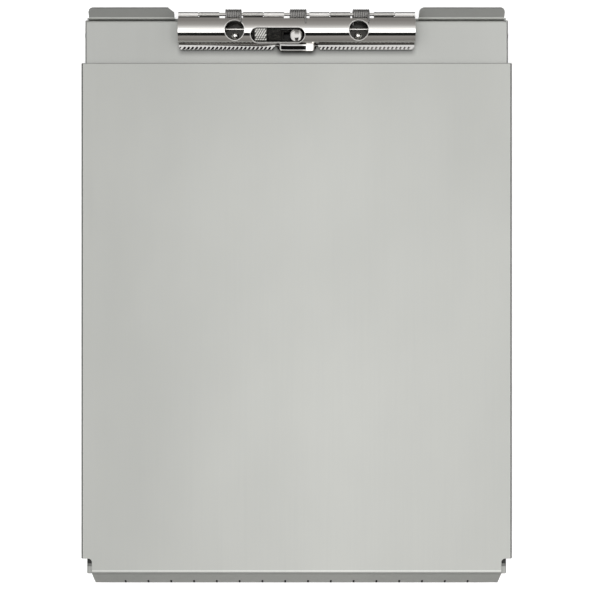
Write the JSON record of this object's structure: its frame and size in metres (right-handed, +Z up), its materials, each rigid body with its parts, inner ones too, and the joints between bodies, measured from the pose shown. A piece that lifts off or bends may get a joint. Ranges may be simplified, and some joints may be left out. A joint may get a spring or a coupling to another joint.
{
  "type": "storage clipboard",
  "caption": "Shallow aluminium form-holder tray with a sliding writing plate, half-inch ruler lip and a locking spring clip at one end.",
  "frame": {"origin": "centre of the whole part's outline, on the resting face of the tray's back", "axes": "+Z up out of the writing face, +Y towards the clip end, +X to the right as one writes"},
  "size_m": [0.2382, 0.3186, 0.0258],
  "materials": {
    "tray_aluminium": "brushed sheet",
    "deck_aluminium": "brushed sheet",
    "plate_aluminium": "brushed sheet, grain along the length",
    "rivet_aluminium": "plain",
    "base_chrome": "bright plating",
    "cover_chrome": "bright plating",
    "pin_chrome": "bright plating",
    "rivet_chrome": "bright plating",
    "post_chrome": "bright plating",
    "pad_chrome": "knurled plating",
    "bridge_steel": "plain",
    "spring_steel": "dark drawn wire",
    "slider_black": "black oxide"
  },
  "bodies": {
    "tray": {"storage_tray": "tray_aluminium", "clip_deck": "deck_aluminium", "clip_base": "base_chrome", "hinge_pin": "pin_chrome", "clip_rivet_left": "rivet_chrome", "clip_rivet_right": "rivet_chrome", "lock_post": "post_chrome", "deck_rivets_left": "rivet_aluminium", "deck_rivets_right": "rivet_aluminium", "corner_rivets_top": "rivet_aluminium", "corner_rivets_bottom": "rivet_aluminium", "stop_rivet_left": "rivet_aluminium", "stop_rivet_right": "rivet_aluminium"},
    "plate": {"writing_plate": "plate_aluminium"},
    "clip": {"clip_cover": "cover_chrome", "slider_bridge": "bridge_steel", "spring_left": "spring_steel", "spring_middle": "spring_steel", "spring_right": "spring_steel"},
    "lock": {"lock_slider": "slider_black", "thumb_pad": "pad_chrome"}
  },
  "joints": [
    {"name": "plate_slide", "type": "slide", "parent": "tray", "child": "plate", "axis": [0, -1, 0], "range_m": [0, 0.24]},
    {"name": "clip_hinge", "type": "hinge", "parent": "tray", "child": "clip", "pos_m": [0, 0.15542, 0.0215], "axis": [-1, 0, 0], "range_deg": [0, 60], "stiffness_Nm_per_rad": 0.15, "springref_deg": -34.38, "deforming": ["spring_left", "spring_middle", "spring_right"]},
    {"name": "lock_slide", "type": "slide", "parent": "clip", "child": "lock", "axis": [1, 0, 0], "range_m": [0, 0.005]}
  ]
}
